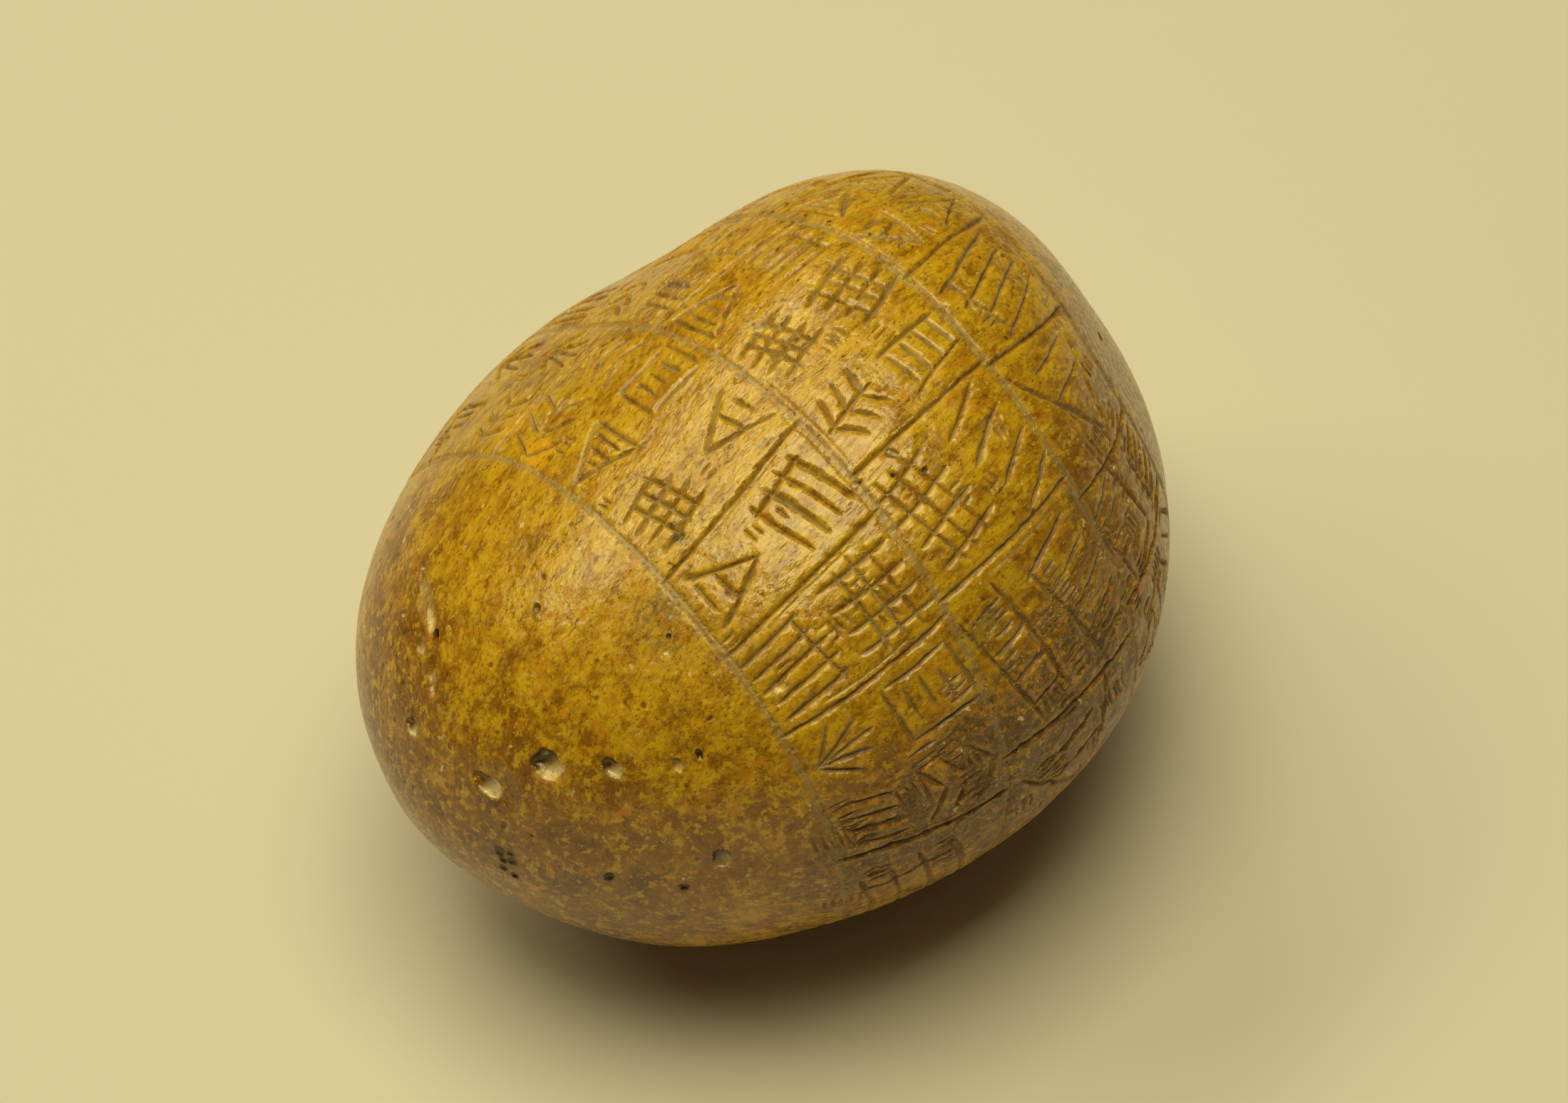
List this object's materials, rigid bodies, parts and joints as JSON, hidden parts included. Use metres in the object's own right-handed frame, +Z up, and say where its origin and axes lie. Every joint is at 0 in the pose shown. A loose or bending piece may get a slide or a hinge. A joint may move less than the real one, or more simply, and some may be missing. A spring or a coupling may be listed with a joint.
{
  "type": "inscribed stone",
  "caption": "Oval hand-sized stone with one bare end, its other side ruled into bands and boxes of short incised strokes.",
  "frame": {"origin": "on the ground below the middle of the stone's bounding box, level with the flat spot it rests on", "axes": "+Z up; the long axis runs along X, with the bare end toward -X and the inscribed end toward +X; the side that the picture shows on the right faces -Y"},
  "size_m": [0.134, 0.1156, 0.0948],
  "materials": {
    "stone": "water-worn and handled smooth, softly shining golden ochre with brown mottling and dusty grooves"
  },
  "bodies": {
    "root": {"stone": "stone"}
  },
  "joints": []
}
